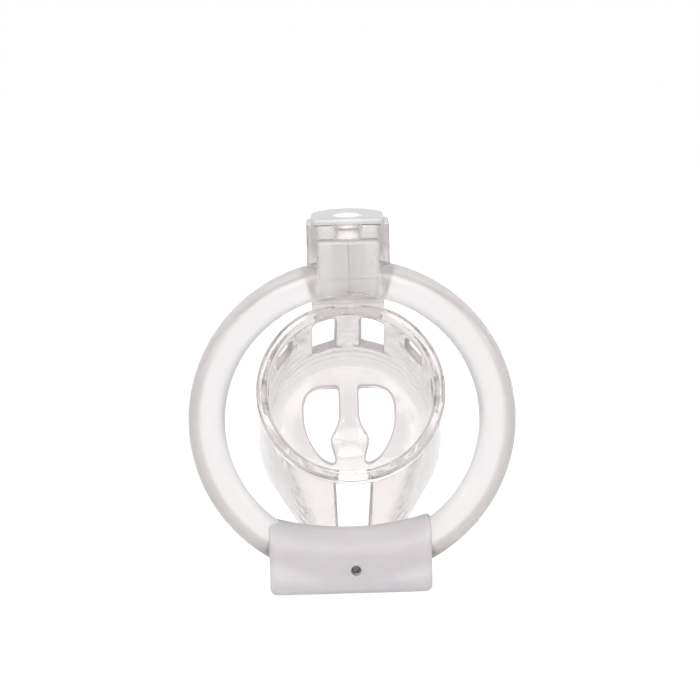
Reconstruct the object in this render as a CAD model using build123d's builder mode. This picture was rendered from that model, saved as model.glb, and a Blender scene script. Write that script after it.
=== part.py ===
from build123d import *
import math
import os

# Lockable clear cage on a hinged two-part ring, standing on the sleeve at the bottom of the ring.
# Millimetres. X to the wearer's right-hand side, Y forward through the ring, Z up, floor at Z = 0.

os.makedirs("parts", exist_ok=True)

# ---- ring ----
ring_bore = 50.0            # clear inside diameter
ring_tube = 7.2             # diameter of the round section
ring_z = 33.9               # height of the ring's centre above the floor
ring_r = ring_bore / 2 + ring_tube / 2
tube_r = ring_tube / 2
split_gap = 0.08            # gap between the two halves
tongue_w = 12.2             # the block on top that the lock housing slips over
tongue_rise = 36.4          # its top above the ring's centre
tongue_top = ring_z + tongue_rise
tongue_front = 6.6
tongue_proud = 0.15         # it stands this far behind the round section
tongue_rear = -tube_r - tongue_proud
tongue_edge = 0.9
tongue_root = 0.4           # how far above the section's middle it starts behind
peg_r = 0.45                # two pegs line the halves of the tongue up
peg_y = -2.65
peg_rises = (tongue_rise - 5.9, tongue_rise - 2.4)
peg_len = 1.6
peg_root = 0.8
peg_clear = 0.08

# ---- hinge at the bottom of the ring ----
pin_r = 0.85
pin_len = 6.8
pin_drop = 0.5              # the pin lies this far below the middle of the section
pin_z = ring_z - ring_r - pin_drop
pin_fit = 0.02
pin_end = 0.15
knuckle_r = 2.75
knuckle_mid = 2.6           # width of the middle knuckle
knuckle_gap = 0.1

# ---- silicone sleeve ----
sleeve_w = 32.0
sleeve_d = 12.0
sleeve_shift = -1.0
sleeve_side_over = 3.9      # its top stands this far over the lowest point of the bore
sleeve_mid_over = 2.5
sleeve_side_h = ring_z - ring_bore / 2 + sleeve_side_over
sleeve_mid_h = ring_z - ring_bore / 2 + sleeve_mid_over
sleeve_corner = 2.4
sleeve_round = 1.4
sleeve_top_round = 1.0
sleeve_clear = 0.3

# ---- cage tube ----
tilt = 29.4                 # the tube points forward and down by this angle
rim_y = 11.0
rim_rise = 3.7              # the rim's centre above the ring's
rim_z = ring_z + rim_rise
rim_r = 18.9
rim_flat = 18.1             # height of its flattened top over its centre
rim_flat_r = 30.0           # radius of the flattened top
rim_join_r = 12.0           # the arcs that lead into it
mouth_r = 16.6
rim_t = 3.0
rim_overlap = 0.6           # the tube starts this far inside the rim
tube_len = 36.4             # from the rim's rear face to the front face
neck_r = 17.9
end_r = 19.1
lobe_r = 12.5               # lower part of the egg-shaped section
neck_step = 0.3             # how much smaller the section's lower circle already is at the neck
end_lobe_drop = 12.65
wall = 2.0
plate_t = 2.2
end_round = 3.4
end_round_in = 1.8
rim_round = 0.72            # the rear of the rim is a rounded bead

# ---- openings in the cage ----
slot_w = 5.0
slot_angles = [(17.0, 3.9, 24.0), (52.0, 3.9, 12.5), (87.0, 3.9, 12.5)]
vent_half_w = 9.5
vent_mid = 5.5              # height of the vents' widest line above the tube's axis
vent_top = 11.5
vent_tip = -4.9
vent_corner = 4.4
vent_round = 0.7
tip_out = 4.3
tip_mid = 3.6
tip_in = 3.15
bar_half_w = 2.1
bulb_half_w = 4.0
bulb_mid = 0.0
bulb_top = 5.8
slot_round = 1.6
slot_edge = 0.45            # the openings' edges are rounded like this
vent_edge = 0.5
low_slot_half = 3.5
low_slot_start = 4.4
front_slot_top = -20.5
front_slot_half = 2.9
front_low_half = 2.1
front_slot_round = 1.2
low_slot_narrow = 0.5       # the slot under the tube narrows by this before the front
low_slot_end = 9.0
cut_over = 1.5              # how far a cutting body stands off what it cuts
cut_room = 4 * ring_bore    # longer than anything it cuts

# ---- lock housing and cap ----
housing_w = 16.1
housing_rear = -3.0
housing_side = 5.5          # the flat sides end here and the rounded front begins
housing_front = 11.0
housing_round = 0.5
roof_t = 2.65               # the roof over the block
tongue_top_clear = 0.35
housing_rise = tongue_rise + tongue_top_clear + roof_t
housing_top = ring_z + housing_rise
housing_corner = 1.6
housing_rear_corner = 0.6
housing_side_h = 13.9       # the side walls reach this far down
housing_side_low = housing_top - housing_side_h
tongue_clear = 0.4
tube_clear = 0.3
gusset_w = 14.6
gusset_low = 22.6
gusset_high = tongue_rise - 4.4
gusset_rear = tongue_front + tongue_clear + 0.2
rim_top_y = rim_y + rim_flat * math.sin(math.radians(tilt))
rim_top_z = rim_z + rim_flat * math.cos(math.radians(tilt))
cap_t = 1.3
cap_inset = 0.95
cap_round = 0.85
cap_corner = 1.2

# ---- lock ----
lock_y = 1.5
barrel_r = 2.9
barrel_len = 11.95
barrel_proud = 1.15         # it fills the hole in the cap
barrel_top = housing_top + barrel_proud
barrel_low = barrel_top - barrel_len
flange_r = 3.7
flange_t = 0.8
barrel_fit = 0.05
tongue_bore_r = 3.15
plug_r = 2.0
plug_fit = 0.03
plug_head_r = 2.4
plug_head_t = 0.5
key_w = 3.0
key_t = 0.8
key_depth = 9.4
wafer_count = 4
wafer_t = 0.6
wafer_pitch = 2.0
wafer_first = 3.0
wafer_play = 0.04
wafer_half_x = 1.7
wafer_half_y = 0.95
wafer_window_x = 1.15
spring_y = 1.28
spring_r = 0.24
spring_wire = 0.05
spring_turns = 5
spring_pocket = 1.2
cam_t = 1.4
cam_reach = 4.1
cam_w = 2.0
cam_hub_r = 2.2
cam_low = barrel_low - cam_t - 0.2
cam_room = 0.3
screw_head_r = 1.1
screw_head_t = 0.45
screw_r = 0.5
screw_len = 2.6


def finish(part, name):
    part.label = name
    export_step(part, "parts/" + name + ".step")


axis_dir = Vector(0, math.cos(math.radians(tilt)), -math.sin(math.radians(tilt)))
rim_centre = Vector(0, rim_y, rim_z)
ring_axis = Axis((0, 0, ring_z), (0, 1, 0))
tube_axis = Axis(rim_centre, axis_dir)


def cage_plane(along):
    """Sketch plane square to the cage tube, at a distance along it from the rim."""
    return Plane(origin=rim_centre + axis_dir * along, x_dir=(-1, 0, 0), z_dir=axis_dir)


# the ring's section, drawn where the ring passes through the upper half of the plane X = 0
section_plane = Plane(origin=(0, 0, ring_z), x_dir=(0, 0, 1), z_dir=(1, 0, 0))
hinge_plane = Plane(origin=(0, 0, pin_z), x_dir=(1, 0, 0), z_dir=(0, -1, 0))

# ---------------------------------------------------------------- helper solids
with BuildPart() as ring_body:
    with BuildSketch(section_plane):
        with Locations((ring_r, 0)):
            Circle(tube_r)
    revolve(axis=ring_axis)

with BuildPart() as ring_room:
    with BuildSketch(section_plane):
        with Locations((ring_r, 0)):
            Circle(tube_r + tube_clear)
    revolve(axis=ring_axis)

with BuildPart() as sleeve_room:
    with BuildSketch(section_plane):
        with Locations((ring_r, 0)):
            Circle(tube_r + sleeve_clear)
    revolve(axis=ring_axis)

with BuildPart() as lock_room:
    # the round hole, the groove that lets the cam pass, and the quarter turn that it locks in
    with BuildSketch(Plane.XY.offset(cam_low - cam_room - screw_head_t)):
        with Locations((0, lock_y)):
            Circle(tongue_bore_r)
    extrude(amount=tongue_top - cam_low + 2)
    with BuildSketch(Plane.XY.offset(cam_low - cam_room)):
        with Locations((0, lock_y + (cam_reach + cam_room) / 2)):
            Rectangle(cam_w + 2 * cam_room, cam_reach + cam_room)
    extrude(amount=tongue_top - cam_low + 2)
    with BuildSketch(Plane.XY.offset(cam_low - cam_room)):
        with Locations((0, lock_y)):
            Circle(cam_reach + cam_room)
        with Locations((-5 - cam_w / 2 - cam_room, lock_y)):
            Rectangle(10, 20, mode=Mode.SUBTRACT)
        with Locations((0, lock_y - 5 - cam_w / 2 - cam_room)):
            Rectangle(20, 10, mode=Mode.SUBTRACT)
    extrude(amount=cam_t + 2 * cam_room)


# the whole ring with its tongue, which is then divided between the two halves
with BuildPart() as tongue:
    with BuildSketch(Plane.XY.offset(ring_z + 0.8 * ring_bore / 2)):
        with Locations((0, (tongue_front + tongue_rear) / 2)):
            RectangleRounded(tongue_w, tongue_front - tongue_rear, tongue_edge)
    extrude(amount=tongue_rise - 0.8 * ring_bore / 2)
    fillet(tongue.faces().sort_by(Axis.Z)[-1].edges(), tongue_edge * 0.9)
    # behind, the block grows out of the round section above its middle
    with BuildSketch(Plane.XY.offset(ring_z + ring_r + tongue_root)):
        with Locations((0, -tube_r - tongue_root)):
            Rectangle(2 * tongue_w, 2 * tube_r)
    extrude(amount=-3 * tube_r, mode=Mode.SUBTRACT)
    with BuildSketch(Plane(origin=(0, ring_bore, ring_z), x_dir=(1, 0, 0), z_dir=(0, -1, 0))):
        Circle(ring_bore / 2)
    extrude(amount=2 * ring_bore, mode=Mode.SUBTRACT)

with BuildPart() as whole_ring:
    add(ring_body.part + tongue.part - lock_room.part)


def hinge_disc(radius, near, far):
    """Round plates about the hinge pin, from near to far on both sides of the middle."""
    with BuildPart(mode=Mode.PRIVATE) as plates:
        for way in (1, -1):
            with BuildSketch(hinge_plane.offset(way * near)):
                Circle(radius)
            extrude(amount=way * (far - near))
    return plates.part


def side_room(side):
    """Everything on one side of the split."""
    with BuildPart(mode=Mode.PRIVATE) as room:
        with BuildSketch(Plane.YZ.offset(side * split_gap / 2)):
            with Locations((0, ring_z)):
                Rectangle(cut_room, cut_room)
        extrude(amount=side * cut_room)
    return room.part


knuckle_side = knuckle_mid / 2 + knuckle_gap

# ---------------------------------------------------------------- ring halves
with BuildPart() as ring_half_right:
    add(side_room(1))
    add(hinge_disc(knuckle_r + knuckle_gap, 0, knuckle_side), mode=Mode.SUBTRACT)
    add(hinge_disc(knuckle_r, knuckle_side, 2 * tube_r))
    add(whole_ring.part, mode=Mode.INTERSECT)
    with BuildSketch(hinge_plane):
        Circle(pin_r + pin_fit)
    extrude(amount=1.5 * tube_r, both=True, mode=Mode.SUBTRACT)
    with BuildSketch(Plane.YZ):
        with Locations([(peg_y, ring_z + rise) for rise in peg_rises]):
            Circle(peg_r + peg_clear)
    extrude(amount=peg_len, mode=Mode.SUBTRACT)
finish(ring_half_right.part, "ring_half_right")

with BuildPart() as ring_half_left:
    add(side_room(-1))
    add(hinge_disc(knuckle_r + knuckle_gap, knuckle_mid / 2, 2 * tube_r), mode=Mode.SUBTRACT)
    add(hinge_disc(knuckle_r, 0, knuckle_mid / 2))
    add(whole_ring.part, mode=Mode.INTERSECT)
    with BuildSketch(hinge_plane):
        Circle(pin_r + pin_fit)
    extrude(amount=1.5 * tube_r, both=True, mode=Mode.SUBTRACT)
    with BuildSketch(Plane.YZ.offset(-peg_root)):
        with Locations([(peg_y, ring_z + rise) for rise in peg_rises]):
            Circle(peg_r)
    extrude(amount=peg_root + peg_len - 0.2)
finish(ring_half_left.part, "ring_half_left")

with BuildPart() as hinge_pin:
    with BuildSketch(hinge_plane):
        Circle(pin_r)
    extrude(amount=pin_len / 2, both=True)
    chamfer(hinge_pin.edges().filter_by(GeomType.CIRCLE), pin_end)
finish(hinge_pin.part, "hinge_pin")

# ---------------------------------------------------------------- sleeve
with BuildPart() as ring_sleeve:
    with BuildSketch(Plane(origin=(sleeve_shift, 0, 0), x_dir=(1, 0, 0), z_dir=(0, -1, 0))):
        with BuildLine():
            half = sleeve_w / 2
            Line((-half, sleeve_side_h), (-half, 0))
            Line((-half, 0), (half, 0))
            Line((half, 0), (half, sleeve_side_h))
            ThreePointArc((half, sleeve_side_h), (0, sleeve_mid_h), (-half, sleeve_side_h))
        make_face()
    extrude(amount=sleeve_d / 2, both=True)
    low = ring_sleeve.edges().filter_by(Axis.Y).sort_by(Axis.Z)[:2]
    fillet(low, sleeve_corner)
    top_corners = ring_sleeve.edges().filter_by(Axis.Y).sort_by(Axis.Z)[-2:]
    fillet(top_corners, sleeve_top_round)
    rims = ring_sleeve.faces().sort_by(Axis.Y)
    fillet(rims[0].edges() + rims[-1].edges(), sleeve_round)
    add(sleeve_room.part, mode=Mode.SUBTRACT)
finish(ring_sleeve.part, "ring_sleeve")


# ---------------------------------------------------------------- cage shell
# the section's straight flanks lean in by the same angle all along the tube, so it stays smooth
flank = math.asin((end_r - lobe_r) / end_lobe_drop)


def egg(along, big, small):
    """Egg-shaped section: a large circle on the tube's axis and a smaller one below it."""
    drop = (big - small) / math.sin(flank)
    ca, sa = math.cos(flank), math.sin(flank)
    with BuildSketch(cage_plane(along)) as outline:
        with BuildLine():
            right_hi = (big * ca, -big * sa)
            left_hi = (-big * ca, -big * sa)
            right_lo = (small * ca, -drop - small * sa)
            left_lo = (-small * ca, -drop - small * sa)
            ThreePointArc(right_hi, (0, big), left_hi)
            Line(left_hi, left_lo)
            ThreePointArc(left_lo, (0, -drop - small), right_lo)
            Line(right_lo, right_hi)
        make_face()
    return outline.sketch


with BuildPart() as cage_solid:
    add(egg(rim_t - rim_overlap, neck_r, neck_r - neck_step))
    add(egg(tube_len, end_r, lobe_r))
    loft(ruled=True)
    fillet(cage_solid.faces().sort_by(tube_axis)[-1].edges(), end_round)

with BuildPart() as rim_flange:
    # a circle with a flattened top, and an arc between them on each side
    drop = rim_flat_r - rim_flat
    join_y = ((rim_flat_r - rim_join_r) ** 2 - (rim_r - rim_join_r) ** 2 - drop ** 2) / (2 * drop)
    join_x = math.sqrt((rim_r - rim_join_r) ** 2 - join_y ** 2)
    low = Vector(join_x, join_y) * (rim_r / (rim_r - rim_join_r))
    high = Vector(0, -drop) + Vector(join_x, join_y + drop) * (rim_flat_r / (rim_flat_r - rim_join_r))
    half_way = Vector(join_x, join_y) + (
        (low + high) * 0.5 - Vector(join_x, join_y)
    ).normalized() * rim_join_r
    with BuildSketch(cage_plane(0)):
        with BuildLine():
            ThreePointArc(low, (0, -rim_r), (-low.X, low.Y))
            ThreePointArc((-low.X, low.Y), (-half_way.X, half_way.Y), (-high.X, high.Y))
            ThreePointArc((-high.X, high.Y), (0, rim_flat), high)
            ThreePointArc(high, half_way, low)
        make_face()
        Circle(mouth_r, mode=Mode.SUBTRACT)
    extrude(amount=rim_t)
    rear_rims = rim_flange.edges().group_by(tube_axis)[0]
    fillet(rear_rims, rim_round)
    front_rims = rim_flange.edges().group_by(tube_axis)[-1]
    fillet(front_rims.filter_by(lambda edge: abs(edge.radius - mouth_r) > 0.1), rim_round)

with BuildPart() as cage_hollow:
    add(egg(rim_t, mouth_r, mouth_r - neck_step))
    add(egg(tube_len - plate_t, end_r - wall, lobe_r - wall))
    loft(ruled=True)
    fillet(cage_hollow.faces().sort_by(tube_axis)[-1].edges(), end_round_in)
    with BuildSketch(cage_plane(-cut_over)):
        Circle(mouth_r)
    extrude(amount=rim_t + cut_over)

with BuildPart() as vents:
    # two leaf-shaped vents side by side, with a bar and a bulb left standing between them
    with BuildSketch(cage_plane(tube_len - plate_t - cut_over)):
        with BuildLine():
            top_flat = vent_half_w - vent_corner
            top_in = bar_half_w + vent_round
            Line((top_in, vent_top), (top_flat, vent_top))
            RadiusArc((top_flat, vent_top), (vent_half_w, vent_top - vent_corner), vent_corner)
            Line((vent_half_w, vent_top - vent_corner), (vent_half_w, vent_mid))
            Spline(
                (vent_half_w, vent_mid),
                (vent_half_w * 0.75, vent_tip + 2.6),
                (tip_out, vent_tip + 0.1),
                tangents=((0, -1), (-1, -0.35)),
            )
            ThreePointArc((tip_out, vent_tip + 0.1), (tip_mid, vent_tip), (tip_in, vent_tip + 0.7))
            Spline(
                (tip_in, vent_tip + 0.7),
                (bulb_half_w, bulb_mid),
                (bar_half_w, bulb_top),
                tangents=((0.12, 1), (0, 1)),
            )
            Line((bar_half_w, bulb_top), (bar_half_w, vent_top - vent_round))
            RadiusArc((bar_half_w, vent_top - vent_round), (top_in, vent_top), vent_round)
        make_face()
        mirror(about=Plane.YZ)
    extrude(amount=plate_t + 3 * cut_over)

with BuildPart() as low_slot:
    # cut down through the bottom wall, narrowing towards the front
    with BuildSketch(Plane(origin=rim_centre, x_dir=axis_dir, z_dir=cage_plane(0).y_dir)):
        with BuildLine():
            Polyline(
                (low_slot_start, low_slot_half),
                (low_slot_start, -low_slot_half),
                (tube_len - low_slot_end, -low_slot_half + low_slot_narrow),
                (tube_len - plate_t, -front_low_half),
                (tube_len - plate_t, front_low_half),
                (tube_len - low_slot_end, low_slot_half - low_slot_narrow),
                (low_slot_start, low_slot_half),
            )
        make_face()
        fillet(vertices().sort_by(Axis.X)[:2], vent_round)
    extrude(amount=-cut_room)

with BuildPart() as front_slot:
    with BuildSketch(cage_plane(tube_len - plate_t - cut_over)):
        with BuildLine():
            Polyline(
                (-front_slot_half, front_slot_top),
                (front_slot_half, front_slot_top),
                (front_low_half, -2 * end_r),
                (-front_low_half, -2 * end_r),
                (-front_slot_half, front_slot_top),
            )
        make_face()
        fillet(vertices().sort_by(Axis.Y)[-2:], front_slot_round)
    extrude(amount=plate_t + 3 * cut_over)

with BuildPart() as cage_shell:
    add(cage_solid.part)
    add(rim_flange.part)
    add(cage_hollow.part, mode=Mode.SUBTRACT)
    # slots round the root of the tube, in pairs
    for angle, start, stop in slot_angles:
        for side in (1, -1):
            turn = math.radians(side * angle)
            out = Vector(math.sin(turn), 0, 0) + cage_plane(0).y_dir * math.cos(turn)
            middle = rim_centre + axis_dir * ((start + stop) / 2) + out * (mouth_r / 2)
            with BuildSketch(Plane(origin=middle, x_dir=axis_dir, z_dir=out)):
                RectangleRounded(stop - start, slot_w, slot_round)
            extrude(amount=mouth_r, mode=Mode.SUBTRACT)
            fillet(cage_shell.edges(Select.LAST), slot_edge)
    add(vents.part, mode=Mode.SUBTRACT)
    fillet(cage_shell.edges(Select.LAST), vent_edge)
    add(low_slot.part + front_slot.part, mode=Mode.SUBTRACT)
    long_rims = cage_shell.edges(Select.LAST).filter_by(GeomType.BSPLINE)
    long_rims = long_rims.filter_by(lambda edge: edge.length > tube_len / 2)
    fillet(long_rims, vent_edge)
    # small flats where the front of the lobe stands on the floor
    with BuildSketch(Plane.XY):
        Rectangle(cut_room, cut_room)
    extrude(amount=-cut_room, mode=Mode.SUBTRACT)
finish(cage_shell.part, "cage_shell")

# ---------------------------------------------------------------- lock housing
with BuildPart() as housing_block:
    with BuildSketch(Plane.XY.offset(ring_z + 0.6 * ring_bore / 2)):
        with BuildLine():
            w = housing_w / 2
            Polyline((w, housing_side), (w, housing_rear), (-w, housing_rear), (-w, housing_side))
            ThreePointArc((-w, housing_side), (0, housing_front), (w, housing_side))
        make_face()
    extrude(amount=housing_rise - 0.6 * ring_bore / 2)
    standing = housing_block.edges().filter_by(Axis.Z)
    fillet(standing.sort_by(Axis.Y)[:2], housing_rear_corner)
    fillet(standing.sort_by(Axis.Y)[-2:], housing_corner)
    fillet(housing_block.faces().sort_by(Axis.Z)[-1].edges(), housing_round)

with BuildPart() as gusset:
    # a short neck that carries the housing on the top of the rim
    with BuildSketch(Plane.YZ):
        with BuildLine():
            Polyline(
                (gusset_rear, ring_z + gusset_low),
                (gusset_rear, ring_z + gusset_high),
                (housing_front - housing_round, ring_z + gusset_high),
                (rim_top_y + 3.8, rim_top_z - 0.2),
                (rim_top_y + 2.9, rim_top_z - 2.9),
                (rim_top_y + 0.9, rim_top_z - 1.6),
                (rim_top_y - 0.5, rim_top_z + 1.0),
                (gusset_rear, ring_z + gusset_low),
            )
        make_face()
    extrude(amount=gusset_w / 2, both=True)
    fillet(gusset.edges().filter_by(Axis.X).group_by(Axis.Y)[-1], 0.8)

with BuildPart() as lock_housing:
    add(housing_block.part)
    # nothing reaches down behind the roof of the cage
    with BuildSketch(Plane.XY.offset(housing_side_low)):
        Rectangle(cut_room, cut_room)
    extrude(amount=-cut_room, mode=Mode.SUBTRACT)
    add(gusset.part)
    # the room for the ring itself, open at the bottom so that the housing lifts off
    add(ring_room.part, mode=Mode.SUBTRACT)
    with BuildSketch(Plane.XY.offset(ring_z)):
        Rectangle(cut_room, 2 * (tube_r + tube_clear))
    extrude(amount=ring_r + 0.72 * tube_r, mode=Mode.SUBTRACT)
    # the arch over the tongue, open at the rear and at the bottom
    with BuildSketch(Plane.XY.offset(ring_z)):
        with Locations((0, (tongue_front + tongue_clear - cut_room) / 2)):
            Rectangle(tongue_w + 2 * tongue_clear, tongue_front + tongue_clear + cut_room)
    extrude(amount=tongue_top + tongue_top_clear - ring_z, mode=Mode.SUBTRACT)
    # the hole for the lock, with a counterbore for its flange
    with BuildSketch(Plane.XY.offset(barrel_low)):
        with Locations((0, lock_y)):
            Circle(barrel_r + barrel_fit)
    extrude(amount=cut_room, mode=Mode.SUBTRACT)
    with BuildSketch(Plane.XY.offset(housing_top - flange_t)):
        with Locations((0, lock_y)):
            Circle(flange_r + barrel_fit)
    extrude(amount=cut_room, mode=Mode.SUBTRACT)
    add(cage_solid.part, mode=Mode.SUBTRACT)
    add(rim_flange.part, mode=Mode.SUBTRACT)
finish(lock_housing.part, "lock_housing")

# ---------------------------------------------------------------- cap
with BuildPart() as housing_cap:
    with BuildSketch(Plane.XY.offset(housing_top)):
        with BuildLine():
            w = housing_w / 2 - cap_inset
            rear = housing_rear + cap_inset * 0.4
            front = housing_front - cap_inset
            Polyline((w, housing_side), (w, rear), (-w, rear), (-w, housing_side))
            ThreePointArc((-w, housing_side), (0, front), (w, housing_side))
        make_face()
    extrude(amount=cap_t)
    corners = housing_cap.edges().filter_by(Axis.Z)
    fillet(corners.sort_by(Axis.Y)[:2], cap_corner)
    fillet(corners.sort_by(Axis.Y)[-2:], housing_corner)
    fillet(housing_cap.faces().sort_by(Axis.Z)[-1].edges(), cap_round)
    with BuildSketch(Plane.XY.offset(housing_top)):
        with Locations((0, lock_y)):
            Circle(barrel_r + barrel_fit)
    extrude(amount=10, mode=Mode.SUBTRACT)
finish(housing_cap.part, "housing_cap")

# ---------------------------------------------------------------- lock barrel
with BuildPart() as lock_barrel:
    with BuildSketch(Plane.XY.offset(barrel_low)):
        with Locations((0, lock_y)):
            Circle(barrel_r)
    extrude(amount=barrel_top - barrel_low)
    with BuildSketch(Plane.XY.offset(housing_top - flange_t)):
        with Locations((0, lock_y)):
            Circle(flange_r)
    extrude(amount=flange_t)
    with BuildSketch(Plane.XY.offset(barrel_low)):
        with Locations((0, lock_y)):
            Circle(plug_r + plug_fit)
    extrude(amount=20, mode=Mode.SUBTRACT)
    with BuildSketch(Plane.XY.offset(barrel_top - plug_head_t)):
        with Locations((0, lock_y)):
            Circle(plug_head_r + plug_fit)
    extrude(amount=10, mode=Mode.SUBTRACT)
    # two grooves that the wafers drop into when the key is out
    with BuildSketch(Plane.XY.offset(barrel_low + 2)):
        with Locations((0, lock_y)):
            Rectangle(2 * (plug_r + 0.45), 2 * wafer_half_y + 0.1)
    extrude(amount=barrel_top - plug_head_t - barrel_low - 3, mode=Mode.SUBTRACT)
finish(lock_barrel.part, "lock_barrel")

# ---------------------------------------------------------------- lock plug
wafer_z = [barrel_top - wafer_first - n * wafer_pitch for n in range(wafer_count)]

with BuildPart() as lock_plug:
    with BuildSketch(Plane.XY.offset(cam_low + cam_t)):
        with Locations((0, lock_y)):
            Circle(plug_r)
    extrude(amount=barrel_top - 0.05 - cam_low - cam_t)
    with BuildSketch(Plane.XY.offset(barrel_top - plug_head_t + 0.02)):
        with Locations((0, lock_y)):
            Circle(plug_head_r)
    extrude(amount=plug_head_t - 0.07)
    with BuildSketch(Plane.XY.offset(barrel_top + 1)):
        with Locations((0, lock_y)):
            Rectangle(key_w, key_t)
    extrude(amount=-key_depth - 1, mode=Mode.SUBTRACT)
    for z in wafer_z:
        with BuildSketch(Plane.XY.offset(z - wafer_t / 2 - wafer_play)):
            with Locations((0, lock_y)):
                Rectangle(4 * plug_r, 2 * (wafer_half_y + wafer_play))
            with Locations((0, lock_y + spring_y)):
                Rectangle(2 * spring_pocket, 2 * (spring_r + 0.08))
        extrude(amount=wafer_t + 2 * wafer_play, mode=Mode.SUBTRACT)
    with BuildSketch(Plane.XY.offset(cam_low + cam_t)):
        with Locations((0, lock_y)):
            Circle(screw_r - 0.02)
    extrude(amount=screw_len - cam_t, mode=Mode.SUBTRACT)
finish(lock_plug.part, "lock_plug")

# ---------------------------------------------------------------- wafers and their springs
for n, z in enumerate(wafer_z):
    with BuildPart() as wafer:
        with BuildSketch(Plane.XY.offset(z - wafer_t / 2)):
            with Locations((0, lock_y)):
                Rectangle(2 * wafer_half_x, 2 * wafer_half_y)
                Rectangle(2 * wafer_window_x, key_t + 0.1, mode=Mode.SUBTRACT)
            with Locations((spring_pocket - 0.25, lock_y + wafer_half_y + 0.3)):
                Rectangle(0.4, 0.62)
        extrude(amount=wafer_t)
    finish(wafer.part, f"lock_wafer_{n + 1}")

    with BuildPart() as spring:
        span = 2 * spring_pocket - 0.62
        start = Vector(-spring_pocket + 0.06, lock_y + spring_y, z)
        with BuildLine():
            coil = Helix(
                pitch=span / spring_turns,
                height=span,
                radius=spring_r - spring_wire,
                center=start,
                direction=(1, 0, 0),
            )
        with BuildSketch(Plane(origin=coil @ 0, z_dir=coil % 0)):
            Circle(spring_wire)
        sweep(is_frenet=True)
    finish(spring.part, f"wafer_spring_{n + 1}")

# ---------------------------------------------------------------- cam and its screw
with BuildPart() as lock_cam:
    with BuildSketch(Plane.XY.offset(cam_low)):
        with Locations((0, lock_y)):
            Circle(cam_hub_r)
        with Locations((0, lock_y + (cam_reach - cam_w / 2) / 2)):
            Rectangle(cam_w, cam_reach - cam_w / 2)
        with Locations((0, lock_y + cam_reach - cam_w / 2)):
            Circle(cam_w / 2)
        with Locations((0, lock_y)):
            Circle(screw_r + 0.02, mode=Mode.SUBTRACT)
    extrude(amount=cam_t)
finish(lock_cam.part, "lock_cam")

with BuildPart() as cam_screw:
    with BuildSketch(Plane.XY.offset(cam_low - screw_head_t)):
        with Locations((0, lock_y)):
            Circle(screw_head_r)
    extrude(amount=screw_head_t)
    with BuildSketch(Plane.XY.offset(cam_low)):
        with Locations((0, lock_y)):
            Circle(screw_r - 0.03)
    extrude(amount=screw_len)
    with BuildSketch(Plane.XY.offset(cam_low - screw_head_t)):
        with Locations((0, lock_y)):
            Rectangle(2 * screw_head_r + 0.2, 0.3)
    extrude(amount=0.2, mode=Mode.SUBTRACT)
finish(cam_screw.part, "cam_screw")
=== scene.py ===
import bpy
import math
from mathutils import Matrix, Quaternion, Vector


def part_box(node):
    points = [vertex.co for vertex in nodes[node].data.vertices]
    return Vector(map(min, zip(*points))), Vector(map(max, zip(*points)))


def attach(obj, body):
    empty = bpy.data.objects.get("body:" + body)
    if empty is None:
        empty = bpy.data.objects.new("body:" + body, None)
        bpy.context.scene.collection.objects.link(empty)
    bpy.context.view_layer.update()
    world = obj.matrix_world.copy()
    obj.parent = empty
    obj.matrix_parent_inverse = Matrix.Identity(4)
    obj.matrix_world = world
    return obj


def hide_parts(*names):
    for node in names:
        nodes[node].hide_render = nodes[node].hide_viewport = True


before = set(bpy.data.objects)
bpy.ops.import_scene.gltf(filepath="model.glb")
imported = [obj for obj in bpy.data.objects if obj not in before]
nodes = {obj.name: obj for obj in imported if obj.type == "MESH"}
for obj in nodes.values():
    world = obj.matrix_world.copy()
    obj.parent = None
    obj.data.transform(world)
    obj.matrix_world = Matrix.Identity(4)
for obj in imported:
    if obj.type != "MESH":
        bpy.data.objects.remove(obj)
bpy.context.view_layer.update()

# ---------------------------------------------------------------- the room: camera
# A long lens a little to the left of the ring's axis and between eleven and twelve degrees
# above it, rolled slightly clockwise. It is raised without being turned, so it looks at a
# point above the middle of the ring.
rubber_under_ring = 0.0017
ring_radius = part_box("ring_half_right")[1].x
ring_centre = Vector((0, 0, ring_radius + (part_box("ring_sleeve")[0].z + rubber_under_ring)))
camera_azimuth = math.radians(-0.8)
camera_elevation = math.radians(11.5)
camera_roll = math.radians(-1.4)
camera_distance = 0.700
camera_rise = 0.01380
camera_shift = 0.00044

away = Vector((
    math.sin(camera_azimuth) * math.cos(camera_elevation),
    -math.cos(camera_azimuth) * math.cos(camera_elevation),
    math.sin(camera_elevation),
))
camera_data = bpy.data.cameras.new("studio_camera")
camera_data.lens = 183.1
camera_data.sensor_width = 36
camera_data.clip_start = 0.01
camera = bpy.data.objects.new("studio_camera", camera_data)
bpy.context.scene.collection.objects.link(camera)
facing = Quaternion(away, camera_roll) @ (-away).to_track_quat("-Z", "Y")
right, up = facing @ Vector((1, 0, 0)), facing @ Vector((0, 1, 0))
camera.location = ring_centre + away * camera_distance + up * camera_rise - right * camera_shift
camera.rotation_euler = facing.to_euler()
bpy.context.scene.camera = camera


# ---------------------------------------------------------------- the room: light
# A broad softbox over the camera and a weaker one on each side. The room is white before and
# behind the object and greyer to its sides, above and below, where bent and reflected rays
# find it, so clear edges draw grey lines.
def colour(code):
    """sRGB hex to linear RGBA."""
    parts = [int(code[i:i + 2], 16) / 255 for i in (0, 2, 4)]
    return tuple(c / 12.92 if c <= 0.04045 else ((c + 0.055) / 1.055) ** 2.4 for c in parts) + (1.0,)


def add_node(tree, kind, settings=(), inputs=()):
    """A node with its settings, and its inputs as values or as the sockets that feed them."""
    made = tree.nodes.new(kind)
    for name, value in dict(settings).items():
        setattr(made, name, value)
    for name, value in dict(inputs).items():
        socket = made.inputs[name]
        if isinstance(value, bpy.types.NodeSocket):
            tree.links.new(value, socket)
        else:
            socket.default_value = value
    return made


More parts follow.
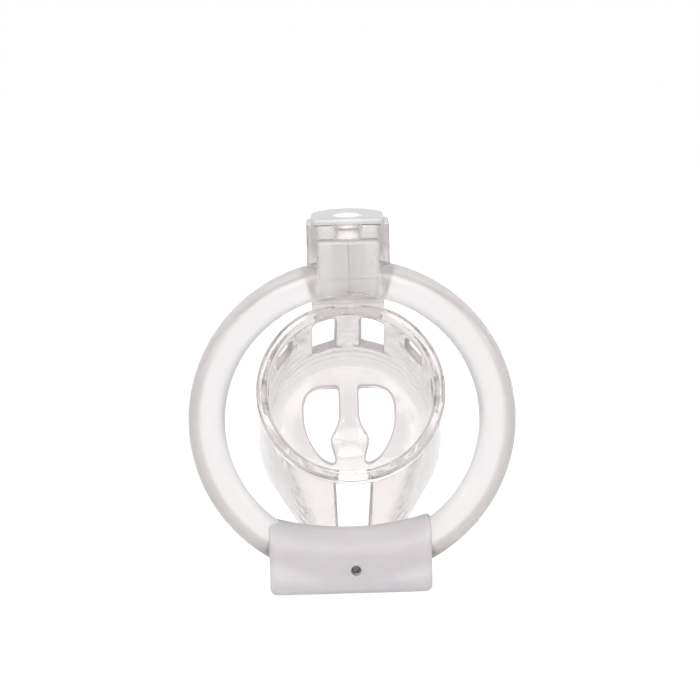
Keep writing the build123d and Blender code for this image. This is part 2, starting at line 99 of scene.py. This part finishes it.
def ray_kinds(tree):
    """1 for rays from the camera, and 1 for those and for reflected or bent rays."""
    rays = add_node(tree, "ShaderNodeLightPath")
    sharp = add_node(tree, "ShaderNodeMath", {"operation": "MAXIMUM"},
                     {0: rays.outputs["Is Camera Ray"], 1: rays.outputs["Is Glossy Ray"]})
    looking = add_node(tree, "ShaderNodeMath", {"operation": "MAXIMUM"},
                       {0: sharp.outputs[0], 1: rays.outputs["Is Transmission Ray"]})
    return rays.outputs["Is Camera Ray"], looking.outputs[0]


room = bpy.data.worlds.new("studio_room")
bpy.context.scene.world = room
room.use_nodes = True
tree = room.node_tree
tree.nodes.clear()
from_camera, looking = ray_kinds(tree)
direction = add_node(tree, "ShaderNodeTexCoord")
axes = add_node(tree, "ShaderNodeSeparateXYZ", (), {0: direction.outputs["Generated"]})
depth = add_node(tree, "ShaderNodeMath", {"operation": "ABSOLUTE"}, {0: axes.outputs["Y"]})
shade = add_node(tree, "ShaderNodeMapRange", {"interpolation_type": "SMOOTHSTEP"},
                 {"Value": depth.outputs[0], "From Min": 0.45, "From Max": 0.95,
                  "To Min": 0.60, "To Max": 1.0})
view = add_node(tree, "ShaderNodeMath", {"operation": "MAXIMUM"},
                {0: shade.outputs["Result"], 1: from_camera})
room_light = 0.80
level = add_node(tree, "ShaderNodeMix", {"data_type": "FLOAT"},
                 {0: looking, 2: room_light, 3: view.outputs[0]})
backdrop = add_node(tree, "ShaderNodeBackground", (),
                    {"Color": colour("FFFFFF"), "Strength": level.outputs[0]})
add_node(tree, "ShaderNodeOutputWorld", (), {"Surface": backdrop.outputs[0]})

for name, place, size, watts in (
    ("softbox_over_camera", (0.0, -0.70, 0.62), 0.60, 4.2),
    ("softbox_left", (-0.75, -0.25, 0.40), 0.45, 1.0),
    ("softbox_right", (0.75, -0.25, 0.40), 0.45, 1.0),
):
    lamp_data = bpy.data.lights.new(name, "AREA")
    lamp_data.shape = "DISK"
    lamp_data.size = size
    lamp_data.energy = watts
    lamp = bpy.data.objects.new(name, lamp_data)
    bpy.context.scene.collection.objects.link(lamp)
    lamp.location = place
    lamp.rotation_euler = (ring_centre - lamp.location).to_track_quat("-Z", "Y").to_euler()


# ---------------------------------------------------------------- the floor
# A narrow sheet of matt white paper that runs away behind the object. What is seen of it is
# lifted to plain white, and it still takes the soft shadow of the object.
def new_material(name):
    """An empty node material, its tree, and the place on the object that its patterns use."""
    made = bpy.data.materials.new(name)
    made.use_nodes = True
    made.node_tree.nodes.clear()
    place = add_node(made.node_tree, "ShaderNodeTexCoord")
    return made, made.node_tree, place.outputs["Object"]


floor_width = 0.26
floor_length = 1.10
floor_middle = 0.40
floor_gap = 0.00004
bpy.ops.object.select_all(action="DESELECT")
bpy.ops.mesh.primitive_plane_add(size=1, location=(0, floor_middle, -floor_gap))
floor = bpy.context.active_object
floor.name = floor.data.name = "paper_floor"
floor.scale = (floor_width, floor_length, 1)
bpy.ops.object.transform_apply(location=True, rotation=True, scale=True)

# fibres about 1 mm long
paper, tree, place = new_material("matt_white_paper")
fibres = add_node(tree, "ShaderNodeTexNoise", (), {"Vector": place, "Scale": 900.0, "Detail": 3.0})
bump = add_node(tree, "ShaderNodeBump", (),
                {"Height": fibres.outputs["Fac"], "Strength": 0.05, "Distance": 0.0001})
matt = add_node(tree, "ShaderNodeBsdfDiffuse", (),
                {"Color": colour("EEEEEE"), "Normal": bump.outputs[0]})
from_camera, looking = ray_kinds(tree)
lift = add_node(tree, "ShaderNodeMapRange", (),
                {"Value": from_camera, "To Min": 1.04, "To Max": 1.24})
white = add_node(tree, "ShaderNodeEmission", (),
                 {"Color": colour("FFFFFF"), "Strength": lift.outputs["Result"]})
lifted_share = 0.70
share = add_node(tree, "ShaderNodeMath", {"operation": "MULTIPLY"}, {0: looking, 1: lifted_share})
lifted = add_node(tree, "ShaderNodeMixShader", (),
                  {0: share.outputs[0], 1: matt.outputs[0], 2: white.outputs[0]})
add_node(tree, "ShaderNodeOutputMaterial", (), {"Surface": lifted.outputs[0]})
floor.data.materials.append(paper)


# ---------------------------------------------------------------- the ring
# Two halves of injection-moulded polycarbonate, blasted matt, which meet along the middle of
# the block on top and turn about a pin at the bottom. Light passes through them softly, so the
# middle of the round section glows and its edges fall off to a cool grey.
def moulded_copy(node, name, body):
    """The node's shape as one welded mesh, smooth except at its real edges, in its place."""
    bpy.ops.object.select_all(action="DESELECT")
    piece = bpy.data.objects.new(name, nodes[node].data.copy())
    piece.data.name = name
    bpy.context.scene.collection.objects.link(piece)
    piece.data.materials.clear()
    bpy.context.view_layer.objects.active = piece
    piece.select_set(True)
    bpy.ops.mesh.customdata_custom_splitnormals_clear()
    bpy.ops.object.mode_set(mode="EDIT")
    bpy.ops.mesh.select_all(action="SELECT")
    bpy.ops.mesh.remove_doubles(threshold=0.000001)
    bpy.ops.object.mode_set(mode="OBJECT")
    bpy.ops.object.shade_smooth_by_angle(angle=math.radians(32))
    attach(piece, body)
    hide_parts(node)
    return piece


right_half = moulded_copy("ring_half_right", "matt_ring_right", "ring")
left_half = moulded_copy("ring_half_left", "matt_ring_left", "ring")

# blasting pits of about 0.12 mm, and a slow unevenness of the blasting over some 9 mm
blasted, tree, place = new_material("blasted_polycarbonate")
pits = add_node(tree, "ShaderNodeTexNoise", (),
                {"Vector": place, "Scale": 8000.0, "Detail": 2.0, "Roughness": 0.6})
passes = add_node(tree, "ShaderNodeTexNoise", (), {"Vector": place, "Scale": 110.0, "Detail": 2.0})
roughness = add_node(tree, "ShaderNodeMapRange", (),
                     {"Value": passes.outputs["Fac"], "To Min": 0.25, "To Max": 0.32})
bump = add_node(tree, "ShaderNodeBump", (),
                {"Height": pits.outputs["Fac"], "Strength": 0.12, "Distance": 0.00003})
tint = add_node(tree, "ShaderNodeMix", {"data_type": "RGBA"},
                {0: passes.outputs["Fac"], 6: colour("F8F6F5"), 7: colour("F3F0F0")})
plastic = add_node(tree, "ShaderNodeBsdfPrincipled", (), {
    "Base Color": tint.outputs[2], "Roughness": roughness.outputs["Result"], "IOR": 1.585,
    "Transmission Weight": 0.96, "Normal": bump.outputs[0]})
add_node(tree, "ShaderNodeOutputMaterial", (), {"Surface": plastic.outputs[0]})

# the block on top is thick and milkier: more of its light is scattered inside it
block = blasted.copy()
block.name = "blasted_polycarbonate_block"
for node in block.node_tree.nodes:
    if node.type == "BSDF_PRINCIPLED":
        node.inputs["Transmission Weight"].default_value = 0.68
block_foot = ring_centre.z + 0.0240
block_half_width = 0.0063
for half in (right_half, left_half):
    half.data.materials.append(blasted)
    half.data.materials.append(block)
    for face in half.data.polygons:
        if face.center.z > block_foot and abs(face.center.x) < block_half_width:
            face.material_index = 1

# ---------------------------------------------------------------- the hinge pin
# A plain turned steel pin through the knuckles. Its dull end shows in the small hole at the
# back of the sleeve.
pin = moulded_copy("hinge_pin", "turned_hinge_pin", "ring")

# turning marks round the pin, about 0.2 mm apart
turned, tree, place = new_material("turned_stainless_steel")
marks = add_node(tree, "ShaderNodeTexWave", {"bands_direction": "Y"},
                 {"Vector": place, "Scale": 1600.0, "Distortion": 0.6})
roughness = add_node(tree, "ShaderNodeMapRange", (),
                     {"Value": marks.outputs["Fac"], "To Min": 0.34, "To Max": 0.46})
steel = add_node(tree, "ShaderNodeBsdfPrincipled", (), {
    "Base Color": colour("8E8A90"), "Metallic": 0.6, "Roughness": roughness.outputs["Result"]})
add_node(tree, "ShaderNodeOutputMaterial", (), {"Surface": steel.outputs[0]})
pin.data.materials.append(turned)

# ---------------------------------------------------------------- the sleeve
# A block of soft milky silicone moulded round the bottom of the ring, with a hollowed top and
# rounded corners. It is the foot that the object stands on.
sleeve_low, sleeve_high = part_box("ring_sleeve")
sleeve_middle = (sleeve_low + sleeve_high) / 2
sleeve_width = sleeve_high.x - sleeve_low.x
sleeve_depth = sleeve_high.y - sleeve_low.y
side_height = 0.0146
middle_height = 0.0121
corner_round = 0.0013
saddle_width = sleeve_width * 1.4
saddle_round = 0.0056
bore_radius = 0.0286
bore_section = 0.00366
hole_radius = 0.00105
hole_depth = 0.006
rear_face = -0.006
pin_low, pin_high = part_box("hinge_pin")
pin_height = (pin_low.z + pin_high.z) / 2


def sleeve_block(width):
    """A box as deep as the sleeve and as high as its ends, standing where the sleeve does."""
    bpy.ops.mesh.primitive_cube_add(
        size=1, location=(sleeve_middle.x, sleeve_middle.y, side_height / 2))
    made = bpy.context.active_object
    made.scale = (width, sleeve_depth, side_height)
    bpy.ops.object.transform_apply(location=True, rotation=True, scale=True)
    return made


def reshape(piece, step, kind, **settings):
    """Apply one modifier with these settings to the piece, which is the active one."""
    modifier = piece.modifiers.new(step, kind)
    for name, value in settings.items():
        setattr(modifier, name, value)
    bpy.ops.object.modifier_apply(modifier=modifier.name)


bpy.ops.object.select_all(action="DESELECT")
sleeve = sleeve_block(sleeve_width)
sleeve.name = sleeve.data.name = "silicone_sleeve"

# the upper half is rounded over the ring from behind to the front, like a saddle
saddle = sleeve_block(saddle_width)
weights = saddle.data.attributes.new("bevel_weight_edge", "FLOAT", "EDGE")
for edge in saddle.data.edges:
    ends = [saddle.data.vertices[i].co for i in edge.vertices]
    on_top = min(end.z for end in ends) > side_height / 2
    across = abs(ends[0].y - ends[1].y) < 0.001
    weights.data[edge.index].value = 1.0 if on_top and across else 0.0
reshape(saddle, "over_ring", "BEVEL", width=saddle_round, segments=16, limit_method="WEIGHT")

# the bore is the ring's own circle, and the hole lets the pin's end be seen
bpy.ops.mesh.primitive_torus_add(
    major_segments=256, minor_segments=64, major_radius=bore_radius, minor_radius=bore_section,
    rotation=(math.pi / 2, 0, 0), location=ring_centre)
bore = bpy.context.active_object
bpy.ops.mesh.primitive_cylinder_add(
    vertices=48, radius=hole_radius, depth=hole_depth, rotation=(math.pi / 2, 0, 0),
    location=(0, rear_face, pin_height))
hole = bpy.context.active_object

bpy.ops.object.select_all(action="DESELECT")
sleeve.select_set(True)
bpy.context.view_layer.objects.active = sleeve
reshape(sleeve, "soft_corners", "BEVEL", width=corner_round, segments=4, limit_method="NONE")
reshape(sleeve, "saddle", "BOOLEAN", operation="INTERSECT", solver="EXACT", object=saddle)
reshape(sleeve, "first_skin", "REMESH", mode="VOXEL", voxel_size=0.0003)
# the top sinks towards the middle of its width
for point in sleeve.data.vertices:
    share = min(1.0, abs(point.co.x - sleeve_middle.x) / (sleeve_width / 2))
    point.co.z *= (middle_height + (side_height - middle_height) * share ** 2) / side_height
reshape(sleeve, "bore", "BOOLEAN", operation="DIFFERENCE", solver="EXACT", object=bore)
reshape(sleeve, "pin_hole", "BOOLEAN", operation="DIFFERENCE", solver="EXACT", object=hole)
for cutter in (saddle, bore, hole):
    bpy.data.objects.remove(cutter)
reshape(sleeve, "even_skin", "REMESH", mode="VOXEL", voxel_size=0.00022)
reshape(sleeve, "relaxed_edges", "SMOOTH", factor=0.5, iterations=5)
bpy.ops.object.shade_smooth()
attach(sleeve, "sleeve")
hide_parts("ring_sleeve")

# a faint clouding of the rubber over some 6 mm, and the mould's fine grain of 0.2 mm
milky, tree, place = new_material("milky_silicone")
clouds = add_node(tree, "ShaderNodeTexNoise", (), {"Vector": place, "Scale": 160.0, "Detail": 3.0})
grain = add_node(tree, "ShaderNodeTexNoise", (), {"Vector": place, "Scale": 5000.0, "Detail": 2.0})
tint = add_node(tree, "ShaderNodeMix", {"data_type": "RGBA"},
                {0: clouds.outputs["Fac"], 6: colour("E9E5E7"), 7: colour("E2DEE1")})
roughness = add_node(tree, "ShaderNodeMapRange", (),
                     {"Value": clouds.outputs["Fac"], "To Min": 0.42, "To Max": 0.54})
bump = add_node(tree, "ShaderNodeBump", (),
                {"Height": grain.outputs["Fac"], "Strength": 0.10, "Distance": 0.00004})
rubber = add_node(tree, "ShaderNodeBsdfPrincipled", (), {
    "Base Color": tint.outputs[2], "Roughness": roughness.outputs["Result"], "IOR": 1.41,
    "Transmission Weight": 0.50, "Subsurface Weight": 0.35, "Subsurface Scale": 0.004,
    "Normal": bump.outputs[0]})
add_node(tree, "ShaderNodeOutputMaterial", (), {"Surface": rubber.outputs[0]})
sleeve.data.materials.append(milky)

# ---------------------------------------------------------------- the cage
# One clear polycarbonate moulding with polished walls: the round rim, the tube with its slots,
# and the vented front. The walls bend the light, so edges and corners draw grey lines; along the
# vents and slots such grey lines are also painted in as shade.
shell = moulded_copy("cage_shell", "clear_cage", "cage")

# flow of the plastic in the mould, seen as slow waves some 5 mm long, and rub marks of 0.4 mm
polished, tree, place = new_material("polished_polycarbonate")
flow = add_node(tree, "ShaderNodeTexNoise", (), {"Vector": place, "Scale": 190.0, "Detail": 1.0})
rub = add_node(tree, "ShaderNodeTexNoise", (), {"Vector": place, "Scale": 2600.0, "Detail": 3.0})
roughness = add_node(tree, "ShaderNodeMapRange", (),
                     {"Value": rub.outputs["Fac"], "To Min": 0.04, "To Max": 0.08})
bump = add_node(tree, "ShaderNodeBump", (),
                {"Height": flow.outputs["Fac"], "Strength": 0.08, "Distance": 0.0004})
tint = add_node(tree, "ShaderNodeMix", {"data_type": "RGBA"},
                {0: flow.outputs["Fac"], 6: colour("ECE8E7"), 7: colour("E6E2E1")})
clear = add_node(tree, "ShaderNodeBsdfPrincipled", (), {
    "Base Color": tint.outputs[2], "Roughness": roughness.outputs["Result"], "IOR": 1.48,
    "Transmission Weight": 0.98, "Normal": bump.outputs[0]})
add_node(tree, "ShaderNodeOutputMaterial", (), {"Surface": clear.outputs[0]})
shell.data.materials.append(polished)

# painted shade: the rounded edges of the vents and slots get a darker, less clear grey copy of the
# wall, painted in to stand for the grey outlines that bent light draws there. A grain of 0.25 mm
# varies its roughness and grey.
painted_edge_shade, tree, place = new_material("painted_shade_moulded_edge")
edge_grain = add_node(tree, "ShaderNodeTexNoise", (), {"Vector": place, "Scale": 4000.0, "Detail": 2.0})
roughness = add_node(tree, "ShaderNodeMapRange", (),
                     {"Value": edge_grain.outputs["Fac"], "To Min": 0.34, "To Max": 0.46})
tint = add_node(tree, "ShaderNodeMix", {"data_type": "RGBA"},
                {0: edge_grain.outputs["Fac"], 6: colour("C6BFC0"), 7: colour("B9B2B4")})
edge = add_node(tree, "ShaderNodeBsdfPrincipled", (), {
    "Base Color": tint.outputs[2], "Roughness": roughness.outputs["Result"], "IOR": 1.48,
    "Transmission Weight": 0.60})
add_node(tree, "ShaderNodeOutputMaterial", (), {"Surface": edge.outputs[0]})
shell.data.materials.append(painted_edge_shade)
# clear walls this thin take next to no light away from what stands behind them
shell.visible_shadow = False

# where the vents and slots lie, measured from the middle of the rim: along the tube, sideways
# and upwards across it
tube_tilt = math.radians(29.4)
tube_way = Vector((0, math.cos(tube_tilt), -math.sin(tube_tilt)))
tube_up = Vector((0, math.sin(tube_tilt), math.cos(tube_tilt)))
rim_forward = 0.011
rim_rise = 0.0037
rim_middle = Vector((0, rim_forward, ring_centre.z + rim_rise))
vent_start, vent_half_width, vent_foot, vent_top = 0.0341, 0.0101, -0.0056, 0.0121
root_start, root_end, root_foot = 0.0035, 0.0246, -0.0045
low_start, low_half_width, low_top = 0.0040, 0.0042, -0.012
# how squarely a face may look out of the plate or the wall, and has to look into the low slot,
# to count as part of an edge that is painted with the grey shade
plate_facing, wall_facing, slot_facing = 0.96, 0.90, 0.35
# faces on these edges take the second slot, the painted grey edge shade
for face in shell.data.polygons:
    reach = face.center - rim_middle
    along, over, aside = reach.dot(tube_way), reach.dot(tube_up), abs(reach.x)
    outwards = (Vector((reach.x, 0, 0)) + tube_up * over).normalized()
    by_vent = along > vent_start and aside < vent_half_width and vent_foot < over < vent_top
    by_root_slot = root_start < along < root_end and over > root_foot
    by_low_slot = along > low_start and aside < low_half_width and over < low_top
    if (
        (by_vent and abs(face.normal.dot(tube_way)) < plate_facing)
        or (by_root_slot and abs(face.normal.dot(outwards)) < wall_facing)
        or (by_low_slot and abs(face.normal.x) > slot_facing)
    ):
        face.material_index = 1

# ---------------------------------------------------------------- the lock housing
# The clear arch that slips over the ring's block, moulded like the cage that it carries. Its
# walls are less polished than the cage's.
housing = moulded_copy("lock_housing", "clear_housing", "cage")
soft_wall = polished.copy()
soft_wall.name = "satin_clear_polycarbonate"
for node in soft_wall.node_tree.nodes:
    if node.type == "MAP_RANGE":
        node.inputs["To Min"].default_value = 0.14
        node.inputs["To Max"].default_value = 0.20
    if node.type == "BSDF_PRINCIPLED":
        node.inputs["Transmission Weight"].default_value = 0.88
housing.data.materials.append(soft_wall)
housing.visible_shadow = False

# ---------------------------------------------------------------- the cap
# A thin milky cap pressed on the housing, with a hole for the lock. Its satin face has a faint
# haze that varies over some 1.4 mm.
cap = moulded_copy("housing_cap", "milky_cap", "cage")
satin, tree, place = new_material("satin_polycarbonate_cap")
haze = add_node(tree, "ShaderNodeTexNoise", (), {"Vector": place, "Scale": 700.0, "Detail": 3.0})
roughness = add_node(tree, "ShaderNodeMapRange", (),
                     {"Value": haze.outputs["Fac"], "To Min": 0.24, "To Max": 0.36})
bump = add_node(tree, "ShaderNodeBump", (),
                {"Height": haze.outputs["Fac"], "Strength": 0.06, "Distance": 0.0001})
tint = add_node(tree, "ShaderNodeMix", {"data_type": "RGBA"},
                {0: haze.outputs["Fac"], 6: colour("F8F6F8"), 7: colour("F2F0F3")})
milk = add_node(tree, "ShaderNodeBsdfPrincipled", (), {
    "Base Color": tint.outputs[2], "Roughness": roughness.outputs["Result"], "IOR": 1.585,
    "Transmission Weight": 0.45, "Normal": bump.outputs[0]})
add_node(tree, "ShaderNodeOutputMaterial", (), {"Surface": milk.outputs[0]})
cap.data.materials.append(satin)

# ---------------------------------------------------------------- the lock
# A small round cam lock of white acetal, its barrel held by a flange under the cap. The plug
# has a plain slot for the key.
barrel = moulded_copy("lock_barrel", "acetal_barrel", "cage")
plug = moulded_copy("lock_plug", "acetal_plug", "lock_core")

# the moulded skin varies over some 0.7 mm
acetal, tree, place = new_material("white_acetal")
skin = add_node(tree, "ShaderNodeTexNoise", (), {"Vector": place, "Scale": 1500.0, "Detail": 3.0})
roughness = add_node(tree, "ShaderNodeMapRange", (),
                     {"Value": skin.outputs["Fac"], "To Min": 0.22, "To Max": 0.34})
bump = add_node(tree, "ShaderNodeBump", (),
                {"Height": skin.outputs["Fac"], "Strength": 0.05, "Distance": 0.0001})
tint = add_node(tree, "ShaderNodeMix", {"data_type": "RGBA"},
                {0: skin.outputs["Fac"], 6: colour("FAFAF9"), 7: colour("F2F2F2")})
white = add_node(tree, "ShaderNodeBsdfPrincipled", (), {
    "Base Color": tint.outputs[2], "Roughness": roughness.outputs["Result"], "IOR": 1.48,
    "Normal": bump.outputs[0]})
add_node(tree, "ShaderNodeOutputMaterial", (), {"Surface": white.outputs[0]})
for piece in (barrel, plug):
    piece.data.materials.append(acetal)

# ---------------------------------------------------------------- wafers, springs, cam and screw
# Inside the plug: four stamped brass wafers, each on its small coil spring. Under it: the
# acetal cam, held by a plated steel screw.

# rolling marks of about 0.3 mm
brass, tree, place = new_material("stamped_brass")
rolled = add_node(tree, "ShaderNodeTexNoise", (), {"Vector": place, "Scale": 3000.0, "Detail": 2.0})
tint = add_node(tree, "ShaderNodeMix", {"data_type": "RGBA"},
                {0: rolled.outputs["Fac"], 6: colour("C9A662"), 7: colour("B8944F")})
roughness = add_node(tree, "ShaderNodeMapRange", (),
                     {"Value": rolled.outputs["Fac"], "To Min": 0.28, "To Max": 0.42})
metal = add_node(tree, "ShaderNodeBsdfPrincipled", (), {
    "Base Color": tint.outputs[2], "Metallic": 1.0, "Roughness": roughness.outputs["Result"]})
add_node(tree, "ShaderNodeOutputMaterial", (), {"Surface": metal.outputs[0]})

# drawing marks of about 0.2 mm
wire, tree, place = new_material("drawn_spring_steel")
drawn = add_node(tree, "ShaderNodeTexNoise", (), {"Vector": place, "Scale": 6000.0, "Detail": 2.0})
roughness = add_node(tree, "ShaderNodeMapRange", (),
                     {"Value": drawn.outputs["Fac"], "To Min": 0.22, "To Max": 0.36})
metal = add_node(tree, "ShaderNodeBsdfPrincipled", (), {
    "Base Color": colour("A9A9AC"), "Metallic": 1.0, "Roughness": roughness.outputs["Result"]})
add_node(tree, "ShaderNodeOutputMaterial", (), {"Surface": metal.outputs[0]})

# tumbling dents of about 0.8 mm
plated, tree, place = new_material("nickel_plated_steel")
tumbled = add_node(tree, "ShaderNodeTexNoise", (), {"Vector": place, "Scale": 1200.0, "Detail": 4.0})
roughness = add_node(tree, "ShaderNodeMapRange", (),
                     {"Value": tumbled.outputs["Fac"], "To Min": 0.26, "To Max": 0.40})
bump = add_node(tree, "ShaderNodeBump", (),
                {"Height": tumbled.outputs["Fac"], "Strength": 0.06, "Distance": 0.0001})
metal = add_node(tree, "ShaderNodeBsdfPrincipled", (), {
    "Base Color": colour("C9C6C0"), "Metallic": 1.0, "Roughness": roughness.outputs["Result"],
    "Normal": bump.outputs[0]})
add_node(tree, "ShaderNodeOutputMaterial", (), {"Surface": metal.outputs[0]})

inner_materials = {"lock_cam": acetal, "cam_screw": plated}
for number in range(1, 5):
    inner_materials[f"lock_wafer_{number}"] = brass
    inner_materials[f"wafer_spring_{number}"] = wire
for name, material in inner_materials.items():
    nodes[name].data.materials.clear()
    nodes[name].data.materials.append(material)

# ---------------------------------------------------------------- view and ray depth
# Rays cross many clear walls, so they are followed further than usual.
bpy.context.scene.view_settings.view_transform = "Standard"
bpy.context.scene.cycles.glossy_bounces = 16
bpy.context.scene.cycles.transmission_bounces = 24
bpy.context.scene.cycles.max_bounces = 28
